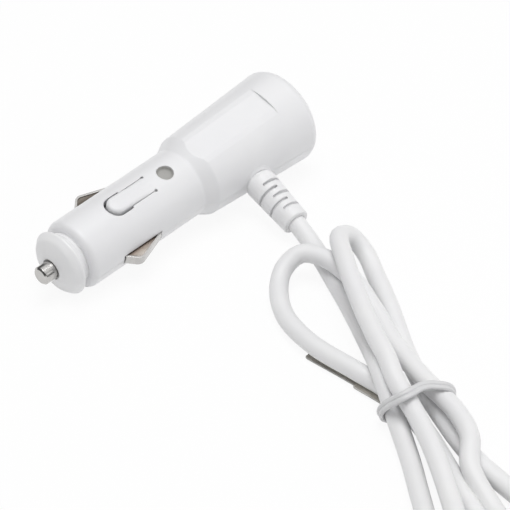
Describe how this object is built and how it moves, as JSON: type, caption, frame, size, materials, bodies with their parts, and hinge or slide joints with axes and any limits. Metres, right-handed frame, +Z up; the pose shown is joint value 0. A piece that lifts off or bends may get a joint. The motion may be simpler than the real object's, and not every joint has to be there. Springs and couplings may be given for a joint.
{
  "type": "vehicle power plug with lead",
  "caption": "Moulded plug for a vehicle's power socket, with sprung tip and side contacts, a port in its head and a charging lead folded and tied.",
  "frame": {"origin": "on the table, at the middle of the lying plug's box, without the lead", "axes": "+X from the tip to the head, +Z up, the lead leaves towards -Y"},
  "size_m": [0.1398, 0.2092, 0.029],
  "materials": {
    "housing_plastic": "fine satin grain",
    "cap_plastic": "satin",
    "plated_metal": "nickel plate, slightly brushed",
    "spring_steel": "drawn wire",
    "glass": "clear",
    "board": "solder mask",
    "ferrite": "matt",
    "capacitor_sleeve": "shrunk sleeve",
    "black_plastic": "matt",
    "clear_plastic": "diffused",
    "window_plastic": "smooth",
    "gold_plate": "gold flash",
    "wire_sheath": "smooth",
    "lead_plastic": "soft satin",
    "tie_plastic": "soft matt film"
  },
  "bodies": {
    "housing": {"upper_shell": "housing_plastic", "lower_shell": "housing_plastic", "nose_cap": "cap_plastic", "tip_spring": "spring_steel", "spring_contact": "plated_metal", "ground_straps": "plated_metal", "circuit_board": "board", "inductor": "ferrite", "input_capacitor": "capacitor_sleeve", "output_capacitor": "capacitor_sleeve", "driver_chip": "black_plastic", "indicator_lamp": "clear_plastic", "lamp_window": "window_plastic", "port_shell": "plated_metal", "port_insulator": "black_plastic", "port_contacts": "gold_plate", "cord_wires": "wire_sheath", "strain_relief": "lead_plastic", "cord_lead": "lead_plastic", "cord_left_loop": "lead_plastic", "cord_right_loop": "lead_plastic", "cord_tail": "lead_plastic", "cord_hank": "lead_plastic", "cord_tie": "tie_plastic", "plug_grip": "lead_plastic", "plug_shell": "plated_metal", "plug_insulator": "black_plastic"},
    "tip": {"tip_contact": "plated_metal", "fuse_glass": "glass", "fuse_caps": "plated_metal", "fuse_wire": "plated_metal"},
    "far_contact": {"ground_contact_far_side": "plated_metal"},
    "cord_contact": {"ground_contact_cord_side": "plated_metal"}
  },
  "joints": [
    {"name": "tip_press", "type": "slide", "parent": "housing", "child": "tip", "axis": [0.9987, 0, 0.0502], "range_m": [0, 0.003], "stiffness_N_per_m": 250, "springref_m": -0.006, "deforming": ["tip_spring"]},
    {"name": "far_contact_press", "type": "hinge", "parent": "housing", "child": "far_contact", "pos_m": [-0.01343, 0.00876, 0.01381], "axis": [-0.0486, -0.2504, 0.9669], "range_deg": [0, 18], "stiffness_Nm_per_rad": 0.06, "springref_deg": -5.73},
    {"name": "cord_contact_press", "type": "hinge", "parent": "housing", "child": "cord_contact", "pos_m": [-0.0132, -0.00876, 0.00928], "axis": [0.0486, 0.2504, -0.9669], "range_deg": [0, 18], "stiffness_Nm_per_rad": 0.06, "springref_deg": -5.73}
  ]
}
